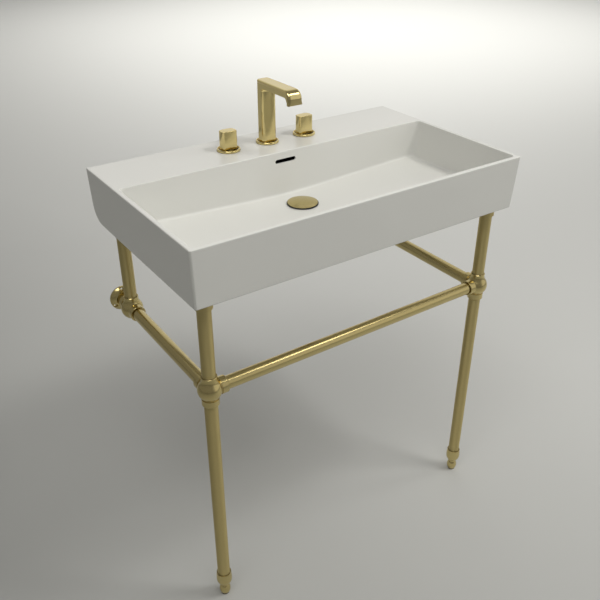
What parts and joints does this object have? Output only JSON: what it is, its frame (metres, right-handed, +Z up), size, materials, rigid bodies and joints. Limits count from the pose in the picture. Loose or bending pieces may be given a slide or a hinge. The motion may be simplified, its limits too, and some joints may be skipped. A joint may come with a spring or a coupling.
{
  "type": "wall-mounted sink",
  "caption": "Rectangular white ceramic basin fixed to the wall above a brass tube stand, with a hooded spout, turning handles, an overflow slot and a lifting drain plug.",
  "frame": {"origin": "on the wall plane, midway between the basin's two wall bolts, 57.5 mm below the rim", "axes": "+X to the right along the wall as seen from the front, +Y into the wall, +Z up"},
  "size_m": [0.806, 0.469, 1.0585],
  "materials": {
    "fireclay": "satin white glaze",
    "satin_brass": "fine brushed satin",
    "plain_brass": "as machined",
    "rubber": "matt black",
    "valve_ceramic": "lapped",
    "moulded_plastic": "moulded",
    "screw_steel": "plain"
  },
  "bodies": {
    "sink": {"basin": "fireclay", "drain_body": "satin_brass", "drain_gasket": "rubber", "drain_washer": "rubber", "drain_nut": "plain_brass", "tailpiece": "satin_brass", "plug_guide": "moulded_plastic", "hot_flange": "satin_brass", "spout_flange": "satin_brass", "cold_flange": "satin_brass", "deck_gaskets": "rubber", "deck_washers": "screw_steel", "deck_nuts": "plain_brass", "hot_valve_body": "satin_brass", "hot_cartridge": "plain_brass", "hot_fixed_disc": "valve_ceramic", "cold_valve_body": "satin_brass", "cold_cartridge": "plain_brass", "cold_fixed_disc": "valve_ceramic", "spout_body": "satin_brass", "spout_shank": "satin_brass", "link_pipes": "plain_brass", "aerator_housing": "satin_brass", "aerator_screen": "moulded_plastic", "left_front_ball": "satin_brass", "left_rear_ball": "satin_brass", "left_front_post": "satin_brass", "left_rear_post": "satin_brass", "left_leg": "satin_brass", "left_side_rail": "satin_brass", "left_wall_flange": "satin_brass", "left_leg_plug": "satin_brass", "right_front_ball": "satin_brass", "right_rear_ball": "satin_brass", "right_front_post": "satin_brass", "right_rear_post": "satin_brass", "right_leg": "satin_brass", "right_side_rail": "satin_brass", "right_wall_flange": "satin_brass", "right_leg_plug": "satin_brass", "front_rail": "satin_brass", "post_caps": "satin_brass", "post_pads": "rubber", "joint_grub_screws": "screw_steel"},
    "hot_handle": {"hot_handle": "satin_brass", "hot_grub_screw": "screw_steel", "hot_stem": "satin_brass", "hot_moving_disc": "valve_ceramic"},
    "cold_handle": {"cold_handle": "satin_brass", "cold_grub_screw": "screw_steel", "cold_stem": "satin_brass", "cold_moving_disc": "valve_ceramic"},
    "drain_plug": {"plug_cap": "satin_brass", "plug_seal": "rubber", "plug_stem": "satin_brass"},
    "left_foot": {"left_levelling_foot": "satin_brass", "left_foot_pad": "rubber"},
    "right_foot": {"right_levelling_foot": "satin_brass", "right_foot_pad": "rubber"}
  },
  "joints": [
    {"name": "hot_handle_turn", "type": "hinge", "parent": "sink", "child": "hot_handle", "pos_m": [-0.1016, -0.074, 0.08], "axis": [0, 0, 1], "range_deg": [0, 90]},
    {"name": "cold_handle_turn", "type": "hinge", "parent": "sink", "child": "cold_handle", "pos_m": [0.1016, -0.074, 0.08], "axis": [0, 0, 1], "range_deg": [-90, 0]},
    {"name": "drain_plug_lift", "type": "slide", "parent": "sink", "child": "drain_plug", "axis": [0, 0, 1], "range_m": [0, 0.01]},
    {"name": "left_foot_level", "type": "slide", "parent": "sink", "child": "left_foot", "axis": [0, 0, 1], "range_m": [-0.008, 0.006]},
    {"name": "right_foot_level", "type": "slide", "parent": "sink", "child": "right_foot", "axis": [0, 0, 1], "range_m": [-0.008, 0.006]}
  ]
}
